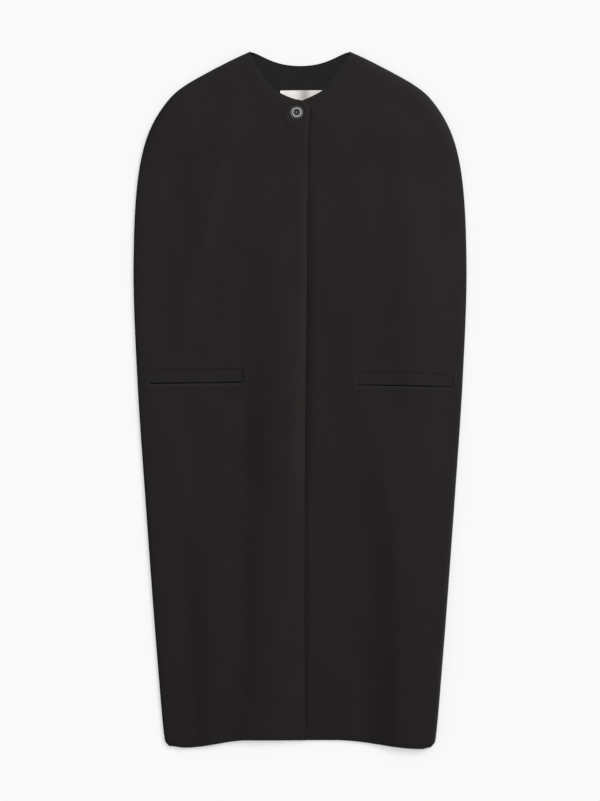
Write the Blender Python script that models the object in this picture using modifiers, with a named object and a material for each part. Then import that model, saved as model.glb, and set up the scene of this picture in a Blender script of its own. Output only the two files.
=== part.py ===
import bpy
import numpy as np
from math import atan2, cos, hypot, pi, sin

MM = 0.001

# Cloth, in millimetres
WALL = 2.0
SEAM_GAP = 0.4
LYING_GAP = 0.3

# Shoulder and side seam of one half, from the hem corner up to the neck point
# height above the middle, half width
SIDE_LINE = (
    (-569.8, 216.0),
    (-562.0, 222.4),
    (-550.0, 224.6),
    (-412.0, 236.8),
    (-165.0, 255.2),
    (33.0, 268.5),
    (218.0, 275.0),
    (358.0, 268.6),
    (422.0, 256.5),
    (462.0, 240.2),
    (496.4, 216.8),
    (510.0, 203.1),
    (523.0, 184.8),
    (538.0, 158.5),
    (553.0, 130.1),
    (565.5, 105.1),
    (575.7, 82.5),
)
CORNER_ROWS = 3
CORNER_LOWER = {"right": 0.7, "left": 2.2}

# Neckline of each front, from its front edge up to the neck point
# distance from the centre towards its own side, height
NECK_FRONT = {
    "right": (
        (-16.7, 481.0),
        (-12.5, 487.6),
        (-4.5, 493.8),
        (0.0, 495.4),
        (7.0, 496.6),
        (14.0, 498.8),
        (28.9, 505.1),
        (39.0, 511.2),
        (56.5, 530.2),
        (72.9, 554.2),
        (78.0, 564.3),
    ),
    "left": (
        (-16.7, 485.5),
        (3.3, 494.6),
        (20.6, 502.3),
        (30.5, 507.5),
        (38.8, 513.2),
        (57.1, 535.3),
        (71.0, 554.2),
        (77.3, 564.3),
    ),
}

# Front edge, from the hem up to the neckline: height, reach past the centre
FRONT_EDGE = (
    (-560.3, 8.5),
    (-430.0, 7.6),
    (-330.0, 7.3),
    (-190.0, 7.6),
    (-90.0, 8.1),
    (21.0, 9.3),
    (180.0, 11.2),
    (337.0, 12.2),
    (425.0, 13.3),
)

# Neckline of the back: lowest height at the centre, how it rises, and how much the tips are rounded off
NECK_BACK_LOW = 552.2
NECK_BACK_POWER = 2.2
NECK_TIP_ROUND = 0.28
NECK_TIP_POWER = 10.0

# Hem: level in the middle, then for each side where it starts to dip, where it is lowest, and how deep
HEM_LEVEL = -560.3
HEM_DIP = {"right": (86.0, 190.0, 12.3), "left": (58.0, 200.0, 14.0)}
BACK_HEM_SHORTER = 3.0

# Heights of the cloth's middle above the surface
BACK_LAY = WALL / 2.0
FRONT_LAY = {"right": 4.8, "left": 6.0}
HEM_SETTLE = 1.4
HEM_SETTLE_OVER = 160.0
SEAM_HEIGHT = 4.6
SIDE_CREST = 9.0
NECK_RISE = 3.4
LAP_RISE = 3.6
LAP_RISE_TO = (-35.0, 2.0)
LAP_RISE_OVER = (62.0, 150.0)
SHOULDER_FILL = 3.0

# Rolled edge at the seam: reach as a share of a front's width and of the whole back's width
FRONT_ROLL = 0.13
BACK_ROLL = 0.023
ROLL_STOPS = (0.0, 0.0008, 0.03, 0.09, 0.2, 0.38, 0.65, 1.0)
CREST_FADE_FROM = 14.0
CREST_FADE_OVER = 50.0

# Soft folds, most of them running up from the hem
# crest across and height at the low end, the same at the top end, rise at the low end, rise halfway,
# reach to the left and to the right, and how much of its slant lies at its top
FOLDS = (
    (-78.0, -560.0, -52.0, 160.0, 5.4, 1.0, 30.0, 52.0, 0.5),
    (-144.0, -560.0, -150.0, -50.0, 5.2, 1.6, 32.0, 56.0, 1.0),
    (170.0, -560.0, 106.0, 60.0, 9.0, 3.0, 38.0, 160.0, 3.5),
    (110.0, -330.0, 98.0, 380.0, 0.0, 3.4, 42.0, 120.0, 1.0),
    (-216.0, 20.0, -76.0, 640.0, 0.0, 2.4, 34.0, 15.0, 1.0),
    (-198.0, -40.0, -190.0, 320.0, 0.0, 0.8, 44.0, 18.0, 1.0),
    (198.0, -160.0, 168.0, 505.0, 0.0, 4.4, 34.0, 62.0, 1.0),
)

# Welts over the hand slits, lower edge
# side, inner end across, inner end height, outer end across, outer end height, depth
WELTS = (
    ("right", -94.9, 30.9, -249.0, 28.9, 20.3),
    ("left", 94.0, 27.1, 250.5, 23.4, 18.8),
)
WELT_THICK = 2.0
SLIT_WIDE = 2.0
SLIT_SHORTER = 5.0

# Facing inside the back neck, and the label on it
FACING_THICK = 1.5
FACING_TOP_HALF = 76.0
FACING_END = (100.0, 548.0)
FACING_LOW = 472.0
LABEL_LEFT = -32.2
LABEL_RIGHT = 45.0
LABEL_TOP = 511.4
LABEL_DEEP = 30.0
LABEL_TILT = 0.007
LABEL_THICK = 0.8

# Button
BUTTON_AT = (-5.2, 474.9)
RING_RADIUS = 6.8
RING_HALF_THICK = 1.1
HOLE_RADIUS = 0.95
HOLE_OFFSET = 1.6
# distance from the axis, height above the button's underside
BUTTON_PROFILE = (
    (0.0, 0.0),
    (9.0, 0.0),
    (10.3, 0.5),
    (10.75, 1.4),
    (10.5, 2.4),
    (10.0, 2.7),
    (9.5, 2.4),
    (9.2, 2.0),
    (6.0, 2.0),
    (5.0, 1.8),
    (0.0, 1.6),
)

HEM_ROWS = (0.0, 0.004, 0.008, 0.012, 0.018, 0.03)
ROWS_BELOW = 15
ROWS_ABOVE = 18
ROWS_SPLIT = 0.66
FRONT_COLUMNS = 16
BACK_COLUMNS = 6


# Plan curves

def smooth_curve(points, per_span=24):
    """Smooth curve through every point, spaced by the square root of their distances."""
    p = np.array(points, float)
    p = np.vstack([2 * p[0] - p[1], p, 2 * p[-1] - p[-2]])
    knots = np.concatenate([[0.0], np.cumsum(np.sqrt(np.linalg.norm(np.diff(p, axis=0), axis=1)))])
    line = []
    for i in range(1, len(p) - 2):
        t0, t1, t2, t3 = knots[i - 1:i + 3]
        for t in np.linspace(t1, t2, per_span, endpoint=False):
            a1 = ((t1 - t) * p[i - 1] + (t - t0) * p[i]) / (t1 - t0)
            a2 = ((t2 - t) * p[i] + (t - t1) * p[i + 1]) / (t2 - t1)
            a3 = ((t3 - t) * p[i + 1] + (t - t2) * p[i + 2]) / (t3 - t2)
            b1 = ((t2 - t) * a1 + (t - t0) * a2) / (t2 - t0)
            b2 = ((t3 - t) * a2 + (t - t1) * a3) / (t3 - t1)
            line.append(((t2 - t) * b1 + (t - t1) * b2) / (t2 - t1))
    line.append(p[-2])
    return np.array(line)


def at_shares(line, shares):
    """Points of a line at shares of its length."""
    length = np.concatenate([[0.0], np.cumsum(np.linalg.norm(np.diff(line, axis=0), axis=1))])
    length /= length[-1]
    return np.column_stack([np.interp(shares, length, line[:, k]) for k in (0, 1)])


def step(x):
    """Soft step from 0 to 1."""
    x = np.clip(x, 0.0, 1.0)
    return x * x * (3.0 - 2.0 * x)


def side_line(side):
    """Middle of the cloth at the seam of one side, drawn on +X."""
    rows = [(wide, high - CORNER_LOWER[side] * (i < CORNER_ROWS)) for i, (high, wide) in enumerate(SIDE_LINE)]
    line = smooth_curve(rows)
    along = np.gradient(line, axis=0)
    along /= np.linalg.norm(along, axis=1)[:, None]
    inward = np.column_stack([-along[:, 1], along[:, 0]])
    return line + inward * WALL / 2.0


SEAM = {side: side_line(side) for side in ("right", "left")}
NECK_POINT = SEAM["right"][-1]
ROW_SHARES = np.concatenate([
    HEM_ROWS,
    np.linspace(HEM_ROWS[-1], ROWS_SPLIT, ROWS_BELOW, endpoint=False)[1:],
    np.linspace(ROWS_SPLIT, 1.0, ROWS_ABOVE + 1),
])


def hem_height(across, side):
    """Hem height; it dips beside the middle and lifts a little into the rounded corner."""
    corner = SEAM[side][0]
    dip_from, dip_at, deep = HEM_DIP[side]
    dip = step((across - dip_from) / (dip_at - dip_from))
    lift = step((across - dip_at) / (corner[0] - dip_at))
    return HEM_LEVEL - deep * dip + (corner[1] - HEM_LEVEL + deep) * lift


def back_neck_height(across):
    share = np.abs(across) / NECK_POINT[0]
    rise = (1.0 + NECK_TIP_ROUND) * share ** NECK_BACK_POWER - NECK_TIP_ROUND * share ** NECK_TIP_POWER
    return NECK_BACK_LOW + (NECK_POINT[1] - NECK_BACK_LOW) * rise


def patch(bottom, top, left, right, u, v):
    """Fill four plan curves: rows of points from the left curve to the right one."""
    u = u[None, :, None]
    v = v[:, None, None]
    ends = ((1 - u) * (1 - v) * bottom[0] + u * (1 - v) * bottom[-1]
            + (1 - u) * v * top[0] + u * v * top[-1])
    return (1 - v) * bottom[None] + v * top[None] + (1 - u) * left[:, None] + u * right[:, None] - ends


# Heights

def roll(share):
    """Rise of a rolled edge: upright at the seam, level at the end of its reach."""
    return np.sqrt(1.0 - (1.0 - np.clip(share, 0.0, 1.0)) ** 4)


def folds_height(x, y):
    z = np.zeros_like(x)
    for low_x, low_y, top_x, top_y, low_rise, mid_rise, to_left, to_right, bend in FOLDS:
        up = np.clip((y - low_y) / (top_y - low_y), 0.0, 1.0)
        aside = x - low_x - (top_x - low_x) * up ** bend
        reach = np.where(aside < 0.0, to_left, to_right)
        rise = low_rise * (1.0 - step(up)) + mid_rise * 16.0 * (up * (1.0 - up)) ** 2
        z += rise * np.exp(-(aside / reach) ** 2)
    return z


def front_height(x, y, from_seam, seam_share, side):
    """Middle of a front's cloth."""
    settled = 1.0 - step((y - HEM_LEVEL) / HEM_SETTLE_OVER)
    z = FRONT_LAY[side] - HEM_SETTLE * settled + folds_height(x, y)
    z += SHOULDER_FILL * np.exp(-((np.abs(x) - 130.0) / 95.0) ** 2 - ((y - 270.0) / 170.0) ** 2)
    crest = 1.0 - step((from_seam - CREST_FADE_FROM) / CREST_FADE_OVER)
    z += np.maximum(SIDE_CREST - z, 0.0) * crest
    z += NECK_RISE * step((y - 370.0) / 80.0)
    if side == "right":
        upper = step((y - 130.0) / 200.0)
        over = LAP_RISE_OVER[0] + (LAP_RISE_OVER[1] - LAP_RISE_OVER[0]) * upper
        risen = LAP_RISE_TO[0] + (LAP_RISE_TO[1] - LAP_RISE_TO[0]) * upper
        z += LAP_RISE * step((x - risen + over) / over)
    return SEAM_HEIGHT + SEAM_GAP / 2.0 + (z - SEAM_HEIGHT - SEAM_GAP / 2.0) * roll(seam_share)


# Panels as grids of points

def front_points(side):
    sign = -1.0 if side == "right" else 1.0
    u = np.concatenate([
        np.linspace(0.0, 1.0 - FRONT_ROLL, FRONT_COLUMNS, endpoint=False),
        1.0 - FRONT_ROLL * np.array(ROLL_STOPS[::-1]),
    ])
    edge_line = smooth_curve([(-reach, high) for high, reach in FRONT_EDGE] + [NECK_FRONT[side][0]])
    neck_line = smooth_curve(list(NECK_FRONT[side]) + [tuple(NECK_POINT)])
    left = at_shares(edge_line, ROW_SHARES)
    right = at_shares(SEAM[side], ROW_SHARES)
    hem_x = left[0, 0] + (right[0, 0] - left[0, 0]) * u
    bottom = np.column_stack([hem_x, hem_height(hem_x, side)])
    top = at_shares(neck_line, u)
    plan = patch(bottom, top, left, right, u, ROW_SHARES)
    width = np.linalg.norm(right - left, axis=1)[:, None]
    x = sign * plan[..., 0]
    y = plan[..., 1]
    z = front_height(x, y, (1.0 - u)[None, :] * width, (1.0 - u)[None, :] / FRONT_ROLL, side)
    points = np.dstack([x, y, z])
    return points[:, ::-1] if side == "right" else points


def back_points():
    stops = BACK_ROLL * np.array(ROLL_STOPS)
    u = np.concatenate([
        stops,
        np.linspace(BACK_ROLL, 1.0 - BACK_ROLL, BACK_COLUMNS + 1)[1:-1],
        1.0 - stops[::-1],
    ])
    right = at_shares(SEAM["left"], ROW_SHARES)
    left = at_shares(SEAM["right"], ROW_SHARES) * (-1.0, 1.0)
    hem_x = right[0, 0] * (2.0 * u - 1.0)
    hem_y = np.where(hem_x < 0, hem_height(-hem_x, "right"), hem_height(hem_x, "left"))
    hem_y += BACK_HEM_SHORTER * (1.0 - (2.0 * u - 1.0) ** 2)
    neck_x = NECK_POINT[0] * (2.0 * u - 1.0)
    top = np.column_stack([neck_x, back_neck_height(neck_x)])
    plan = patch(np.column_stack([hem_x, hem_y]), top, left, right, u, ROW_SHARES)
    lift = SEAM_HEIGHT - SEAM_GAP / 2.0 - BACK_LAY
    z = BACK_LAY + lift * (1.0 - roll(np.minimum(u, 1.0 - u) / BACK_ROLL))
    return np.dstack([plan, np.broadcast_to(z, plan.shape[:2])])


def front_outside(x, y, side):
    """Outer face of a front at one place, found in the panel's own grid."""
    points = front_points(side)
    row = np.array([np.interp(x, r[:, 0], r[:, 1]) for r in points])
    top = np.array([np.interp(x, r[:, 0], r[:, 2]) for r in points])
    return float(np.interp(y, row, top)) + WALL / 2.0


# Building

for old in list(bpy.data.objects):
    bpy.data.objects.remove(old, do_unlink=True)

cape = bpy.data.collections.new("cape")
cutters = bpy.data.collections.new("cutters")
for group in (cape, cutters):
    bpy.context.scene.collection.children.link(group)


def material(name, colour, roughness, metallic=0.0):
    made = bpy.data.materials.new(name)
    made.use_nodes = True
    shader = made.node_tree.nodes["Principled BSDF"]
    shader.inputs["Base Color"].default_value = (*colour, 1.0)
    shader.inputs["Roughness"].default_value = roughness
    shader.inputs["Metallic"].default_value = metallic
    return made


BLACK_WOOL = material("black_wool", (0.020, 0.019, 0.018), 0.92)
CREAM_SATIN = material("cream_satin", (0.78, 0.77, 0.74), 0.45)
DARK_BUTTON = material("dark_button", (0.022, 0.021, 0.020), 0.30)
BRIGHT_METAL = material("bright_metal", (0.55, 0.55, 0.54), 0.32, 1.0)


def keep(piece, name, group, look=None):
    """Name an object and move it to its collection."""
    piece.name = name
    piece.data.name = name
    for held in list(piece.users_collection):
        held.objects.unlink(piece)
    group.objects.link(piece)
    if look:
        piece.data.materials.clear()
        piece.data.materials.append(look)
    return piece


def cloth(name, points, thick, look):
    """A grid of points made into a wall of cloth."""
    rows, columns = points.shape[:2]
    bpy.ops.mesh.primitive_grid_add(x_subdivisions=columns - 1, y_subdivisions=rows - 1, size=1.0)
    piece = keep(bpy.context.object, name, cape, look)
    piece.data.vertices.foreach_set("co", (points * MM).ravel())
    piece.data.update()
    wall = piece.modifiers.new("wall", "SOLIDIFY")
    wall.thickness = thick * MM
    wall.offset = 0.0
    wall.use_quality_normals = True
    return piece


def cut(piece, cutter):
    keep(cutter, piece.name + "_" + cutter.name, cutters)
    cutter.hide_render = True
    cutter.display_type = "WIRE"
    hole = piece.modifiers.new("cut", "BOOLEAN")
    hole.operation = "DIFFERENCE"
    hole.solver = "EXACT"
    hole.object = cutter


back = cloth("back_panel", back_points(), WALL, BLACK_WOOL)
fronts = {side: cloth(side + "_front", front_points(side), WALL, BLACK_WOOL) for side in ("right", "left")}

# Welts, on the outside of the fronts, and the slits just below them
for side, in_x, in_y, out_x, out_y, welt_deep in WELTS:
    ends = sorted([(in_x, in_y), (out_x, out_y)])
    length = hypot(ends[1][0] - ends[0][0], ends[1][1] - ends[0][1])
    along = np.array([ends[1][0] - ends[0][0], ends[1][1] - ends[0][1]]) / length
    upward = np.array([-along[1], along[0]])
    points = np.zeros((4, 13, 3))
    for row, deep in enumerate(np.linspace(0.0, welt_deep, 4)):
        for column, share in enumerate(np.linspace(0.0, length, 13)):
            spot = np.array(ends[0]) + along * share + upward * deep
            lift = LYING_GAP + WELT_THICK / 2.0
            points[row, column] = (*spot, front_outside(*spot, side) + lift)
    cloth(side + "_welt", points, WELT_THICK, BLACK_WOOL)
    middle = (np.array(ends[0]) + np.array(ends[1])) / 2.0 - upward * SLIT_WIDE / 2.0
    bpy.ops.mesh.primitive_cube_add(size=1.0, location=(*(middle * MM), 8.0 * MM))
    slit = bpy.context.object
    slit.name = "slit"
    slit.scale = ((length - SLIT_SHORTER) * MM, SLIT_WIDE * MM, 11.0 * MM)
    slit.rotation_euler = (0.0, 0.0, atan2(along[1], along[0]))
    bpy.ops.object.transform_apply(location=False, rotation=True, scale=True)
    cut(fronts[side], slit)

# Facing inside the back neck
u = np.linspace(0.0, 1.0, 17)
v = np.linspace(0.0, 1.0, 5)
top_x = FACING_TOP_HALF * (2.0 * u - 1.0)
low_x = FACING_END[0] * (2.0 * u - 1.0)
top = np.column_stack([top_x, back_neck_height(top_x) - 1.5])
low = np.column_stack([low_x, FACING_LOW + (FACING_END[1] - FACING_LOW) * np.abs(2.0 * u - 1.0) ** 1.6])
left = low[0] + (top[0] - low[0]) * v[:, None]
right = low[-1] + (top[-1] - low[-1]) * v[:, None]
plan = patch(low, top, left, right, u, v)
facing_middle = WALL + LYING_GAP + FACING_THICK / 2.0
cloth("back_neck_facing", np.dstack([plan, np.full(plan.shape[:2], facing_middle)]), FACING_THICK, BLACK_WOOL)

# Label
label_middle = facing_middle + FACING_THICK / 2.0 + LYING_GAP + LABEL_THICK / 2.0
x, y = np.meshgrid(np.linspace(LABEL_LEFT, LABEL_RIGHT, 5), np.linspace(LABEL_TOP - LABEL_DEEP, LABEL_TOP, 3))
y += LABEL_TILT * (x - LABEL_LEFT)
cloth("label", np.dstack([x, y, np.full(x.shape, label_middle)]), LABEL_THICK, CREAM_SATIN)

# Button, turned, with four holes, and the ring in its face
button_base = front_outside(*BUTTON_AT, "right") + LYING_GAP
profile = bpy.data.meshes.new("button")
profile.from_pydata([(r * MM, 0.0, z * MM) for r, z in BUTTON_PROFILE],
                    [(i, i + 1) for i in range(len(BUTTON_PROFILE) - 1)], [])
button = keep(bpy.data.objects.new("button", profile), "button", cape, DARK_BUTTON)
button.location = (BUTTON_AT[0] * MM, BUTTON_AT[1] * MM, button_base * MM)
turn = button.modifiers.new("turn", "SCREW")
turn.steps = 32
turn.render_steps = 32
turn.use_merge_vertices = True
turn.merge_threshold = 0.00001
turn.use_normal_calculate = True
for i in range(4):
    angle = pi / 4.0 + i * pi / 2.0
    reach = HOLE_OFFSET * 2.0 ** 0.5
    bpy.ops.mesh.primitive_cylinder_add(
        vertices=12, radius=HOLE_RADIUS * MM, depth=8.0 * MM,
        location=((BUTTON_AT[0] + reach * cos(angle)) * MM, (BUTTON_AT[1] + reach * sin(angle)) * MM,
                  (button_base + 1.0) * MM))
    hole = bpy.context.object
    hole.name = "hole_%d" % (i + 1)
    cut(button, hole)

bpy.ops.mesh.primitive_torus_add(
    major_radius=RING_RADIUS * MM, minor_radius=RING_HALF_THICK * MM, major_segments=32, minor_segments=10,
    location=(BUTTON_AT[0] * MM, BUTTON_AT[1] * MM, (button_base + 2.0 + LYING_GAP + RING_HALF_THICK) * MM))
keep(bpy.context.object, "button_ring", cape, BRIGHT_METAL)
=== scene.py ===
from math import cos, hypot, pi, radians, sin

import bpy
import numpy as np
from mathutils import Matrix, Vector


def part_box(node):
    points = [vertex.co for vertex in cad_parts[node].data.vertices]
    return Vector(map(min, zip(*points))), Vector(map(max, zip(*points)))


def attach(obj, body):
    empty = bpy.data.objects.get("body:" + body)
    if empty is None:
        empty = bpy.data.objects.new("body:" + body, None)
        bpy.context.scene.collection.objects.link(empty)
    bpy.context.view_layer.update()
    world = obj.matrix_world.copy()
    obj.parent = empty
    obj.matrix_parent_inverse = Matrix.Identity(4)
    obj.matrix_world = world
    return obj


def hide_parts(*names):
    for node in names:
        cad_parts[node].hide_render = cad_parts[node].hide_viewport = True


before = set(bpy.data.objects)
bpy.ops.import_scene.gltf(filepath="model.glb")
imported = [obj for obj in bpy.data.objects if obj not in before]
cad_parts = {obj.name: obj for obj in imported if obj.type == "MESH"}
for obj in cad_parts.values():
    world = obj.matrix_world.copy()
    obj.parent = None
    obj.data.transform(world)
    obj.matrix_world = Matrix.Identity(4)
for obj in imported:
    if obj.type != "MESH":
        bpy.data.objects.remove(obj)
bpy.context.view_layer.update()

MM = 0.001

# Cut of the cape, in millimetres; right and left are the wearer's
WALL = 2.0
# between the ends of two seamed walls, and under a piece that lies on another
SEAM_GAP = 0.4
LYING_GAP = 0.3

# Shoulder and side seam of one half, from the hem corner up to the neck point
# height above the middle, half width
SIDE_LINE = (
    (-569.8, 216.0),
    (-562.0, 222.4),
    (-550.0, 224.6),
    (-412.0, 236.8),
    (-165.0, 255.2),
    (33.0, 268.5),
    (218.0, 275.0),
    (358.0, 268.6),
    (422.0, 256.5),
    (462.0, 240.2),
    (496.4, 216.8),
    (510.0, 203.1),
    (523.0, 184.8),
    (538.0, 158.5),
    (553.0, 130.1),
    (565.5, 105.1),
    (575.7, 82.5),
)
WAIST_ROW = 5
# rows of the rounded corner, how much lower it hangs, and the height over which the side follows it
CORNER_ROWS = 3
CORNER_LOWER = {"right": 0.7, "left": 2.2}
CORNER_DROP_OVER = 90.0

# Neckline of each front, from its front edge up to the neck point
# distance from the centre towards its own side, height
NECK_FRONT = {
    "right": (
        (-16.7, 481.0),
        (-12.5, 487.6),
        (-4.5, 493.8),
        (0.0, 495.4),
        (7.0, 496.6),
        (14.0, 498.8),
        (28.9, 505.1),
        (39.0, 511.2),
        (56.5, 530.2),
        (72.9, 554.2),
        (78.0, 564.3),
    ),
    "left": (
        (-16.7, 485.5),
        (3.3, 494.6),
        (20.6, 502.3),
        (30.5, 507.5),
        (38.8, 513.2),
        (57.1, 535.3),
        (71.0, 554.2),
        (77.3, 564.3),
    ),
}

# Front edge, from the hem up to the neckline: height, reach past the centre
FRONT_EDGE = (
    (-560.3, 8.5),
    (-430.0, 7.6),
    (-330.0, 7.3),
    (-190.0, 7.6),
    (-90.0, 8.1),
    (21.0, 9.3),
    (180.0, 11.2),
    (337.0, 12.2),
    (425.0, 13.3),
)

# Neckline of the back: lowest height at the centre, how it rises, and how much the tips are rounded off
NECK_BACK_LOW = 552.2
NECK_BACK_POWER = 2.2
NECK_TIP_ROUND = 0.28
NECK_TIP_POWER = 10.0

# Hem: level in the middle, then for each side where it starts to dip, where it is lowest, and how deep
HEM_LEVEL = -560.3
HEM_DIP = {"right": (86.0, 190.0, 12.3), "left": (58.0, 200.0, 14.0)}
BACK_HEM_SHORTER = 3.0

# Heights of the cloth's middle above the surface
BACK_LAY = WALL / 2.0
FRONT_LAY = {"right": 4.8, "left": 6.0}
HEM_SETTLE = 1.4
HEM_SETTLE_OVER = 160.0
SEAM_HEIGHT = 4.6
# the back's end lies lower, clear of the slanting end of the front, but not near the neck point
BACK_SEAM_LOWER = 0.5
BACK_SEAM_LOWER_TO = 520.0
BACK_SEAM_LOWER_OVER = 60.0
# a front sinks no nearer to the back than this
LEAST_GAP = 0.1
# low crest of cloth along the seam, and how it fades inwards
SIDE_CREST = {"right": 6.6, "left": 5.6}
CREST_FADE_FROM = {"right": 16.0, "left": 18.0}
CREST_FADE_OVER = {"right": 70.0, "left": 50.0}
NECK_RISE = 3.4
NECK_RISE_FROM = 370.0
NECK_RISE_OVER = 80.0
# climb of the lap over the other front: the place across where it ends and its reach, low down and high up
LAP_RISE = 3.6
LAP_RISE_TO = (-35.0, 2.0)
LAP_RISE_OVER = (62.0, 150.0)
LAP_RISE_CHANGES_FROM = 130.0
LAP_RISE_CHANGES_OVER = 200.0
# fullness over the chest: distance from the centre and height, then its reach both ways
SHOULDER_FILL = 3.0
SHOULDER_FILL_AT = (130.0, 270.0)
SHOULDER_FILL_REACH = (95.0, 170.0)
# reach of the rolled edge: of a front at the shoulder, of a front lower down, and of the back
FRONT_ROLL = 36.0
ROLL_BELOW = {"right": 36.0, "left": 8.0}
ROLL_BELOW_FROM = 330.0
ROLL_BELOW_OVER = 300.0
BACK_ROLL = 12.5

# Soft folds, most of them running up from the hem
# crest across and height at the low end, the same at the top end, rise at the low end, rise halfway,
# reach to the left and to the right, and how much of its slant lies at its top
FOLDS = (
    (-78.0, -560.0, -52.0, 160.0, 5.4, 1.0, 30.0, 52.0, 0.5),
    (-144.0, -560.0, -150.0, -50.0, 5.2, 1.6, 32.0, 56.0, 1.0),
    (170.0, -560.0, 106.0, 60.0, 9.0, 3.0, 38.0, 160.0, 3.5),
    (110.0, -330.0, 98.0, 380.0, 0.0, 3.4, 42.0, 120.0, 1.0),
    (-216.0, 20.0, -76.0, 640.0, 0.0, 2.4, 34.0, 15.0, 1.0),
    (-198.0, -40.0, -190.0, 320.0, 0.0, 0.8, 44.0, 18.0, 1.0),
    (198.0, -160.0, 168.0, 505.0, 0.0, 4.4, 34.0, 62.0, 1.0),
)

# Creases too small for the solids: from across and height, to across and height, rise, half width
CREASES = (
    (-20.0, -330.0, -20.0, 250.0, 1.3, 17.0),
    (-234.0, 51.0, -188.0, 63.0, 0.7, 6.0),
    (-22.0, 470.0, -92.0, 405.0, 0.5, 8.0),
    (26.0, 478.0, 88.0, 392.0, 0.45, 9.0),
    (146.0, 505.0, 212.0, 372.0, 0.7, 15.0),
    (-140.0, 512.0, -216.0, 398.0, 0.6, 13.0),
    (-206.0, -30.0, -188.0, -270.0, 0.7, 14.0),
    (214.0, -50.0, 204.0, -340.0, 0.3, 16.0),
    (-18.0, -570.0, -27.0, -420.0, 0.5, 11.0),
    (74.0, -570.0, 84.0, -400.0, 0.7, 15.0),
    (-104.0, -575.0, -108.0, -440.0, 0.5, 12.0),
    (122.0, 190.0, 112.0, 402.0, 0.4, 19.0),
    (-203.0, 230.0, -201.0, 440.0, -0.6, 18.0),
    (-24.0, -120.0, -22.0, -400.0, 0.7, 14.0),
)
BACK_CREASES = (
    (-128.0, -575.0, -112.0, -190.0, 0.45, 22.0),
    (96.0, -575.0, 108.0, -130.0, 0.5, 25.0),
    (-34.0, 90.0, -66.0, 420.0, 0.35, 20.0),
    (152.0, 30.0, 126.0, 390.0, 0.4, 24.0),
    (-44.0, -560.0, -50.0, -330.0, 0.3, 16.0),
)
# the back's creases come in over this distance from the seam
BACK_CREASES_IN = 60.0

# Slow unevenness of the lying cloth: height, waves across, waves up, both as lengths, and a shift
SWAYS = (
    (0.16, 83.0, 310.0, 0.4),
    (0.13, -57.0, 205.0, 1.9),
    (0.10, 133.0, 118.0, 3.1),
)

# Pressed edges and the ditch where one front goes under the other
EDGE_FALL = 0.6
EDGE_FALL_OVER = 4.5
# swell beside the lap's edge, fall at the edge and reach of that fall: low down, high up
LAP_SWELL = (2.4, 1.3)
LAP_FALL = (3.0, 1.9)
LAP_FALL_OVER = (11.0, 7.6)
LAP_CHANGES_FROM = -20.0
LAP_CHANGES_OVER = 300.0
# heights between which they are full and past which they are gone
LAP_SWELL_AT = (-210.0, -90.0, 290.0, 420.0)
LAP_HOLLOW_AT = (-210.0, -90.0, 120.0, 300.0)
# depth, half width: up to the button, below it, and in the middle
LAP_DITCH = (1.05, 4.5)
LAP_TROUGH = (0.9, 6.5)
LAP_HOLLOW = (1.3, 10.5)
LAP_DITCH_TO = 490.0
LAP_DITCH_OVER = 26.0
LAP_TROUGH_TO = 430.0
LAP_TROUGH_OVER = 110.0
# all three run out from this far below the hem, over this height
DITCH_END_BELOW = 8.0
DITCH_END_OVER = 45.0
# ring of cloth that the button pushes up
BUTTON_PUFF = 0.9
BUTTON_PUFF_AT = 18.0
BUTTON_PUFF_HALF = 6.5

# Welts over the hand slits, lower edge
# inner end across, inner end height, outer end across, outer end height
WELTS = {
    "right": (-94.9, 30.9, -249.0, 28.9),
    "left": (94.0, 27.1, 250.5, 23.4),
}
WELT_DEEP = {"right": 20.3, "left": 18.8}
WELT_THICK = 1.5
WELT_GAP = 0.4
# upper edge drawn in at the outer end: how much, then from where and over what share of the length
WELT_DRAWN_IN = {"right": 3.0, "left": 4.0}
WELT_DRAWN_FROM = 0.88
WELT_DRAWN_OVER = 0.12
SLIT_WIDE = 2.0
SLIT_SHORTER = 5.0
# bed pressed under a welt: depth, how far outside it starts and its slope's width; then the low rim outside
WELT_BED = {"right": 1.0, "left": 0.6}
WELT_BED_FROM = 1.6
WELT_BED_OVER = 2.2
WELT_RIM = 0.3
WELT_RIM_OUT = 5.5
WELT_RIM_HALF = 3.6
# lower edge over the slit: how far, how much that varies, where it is farthest and how soon again,
# the last two as shares of the length
WELT_OVER_SLIT = {"right": (0.25, 0.35, 0.6, 0.75), "left": (0.55, 0.25, 0.0, 1.0)}

# Facing inside the back neck, and the label on it
FACING_THICK = 1.5
FACING_TOP_HALF = 76.0
FACING_END = (100.0, 548.0)
FACING_LOW = 472.0
FACING_CURVE = 1.6
FACING_BELOW_NECK = 1.5
LABEL_LEFT = -32.2
LABEL_RIGHT = 45.0
LABEL_TOP = 511.4
LABEL_DEEP = 30.0
LABEL_TILT = 0.007
LABEL_THICK = 0.8
# its one soft fold: place across, height
LABEL_FOLD = (
    (-32.2, 0.0),
    (-28.0, 0.46),
    (-18.0, 1.24),
    (-8.0, 1.98),
    (-5.0, 2.08),
    (-2.5, 2.10),
    (0.0, 2.04),
    (3.0, 1.76),
    (6.0, 1.35),
    (12.4, 0.37),
    (16.0, 0.07),
    (20.0, 0.0),
    (45.0, 0.0),
)
# the label lies flat at its lower edge and is folded above it
LABEL_FOLD_FROM = 480.0
LABEL_FOLD_OVER = 14.0
STITCH_LONG = 2.4
STITCH_PITCH = 3.4
STITCH_THICK = 0.45
STITCH_IN = 3.0
STITCH_PROUD = 0.05

# Button
BUTTON_AT = (-5.2, 474.9)
RING_RADIUS = 6.8
RING_HALF_THICK = 1.1
HOLE_RADIUS = 0.95
HOLE_REACH = 1.6 * 2.0 ** 0.5
DRILL_LONG = 8.0
THREAD_RADIUS = 0.42
THREAD_FROM = 1.5
# direction, height against half its length
THREAD_ARCHES = ((pi / 4.0, 0.35), (-pi / 4.0, 0.7))
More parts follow.
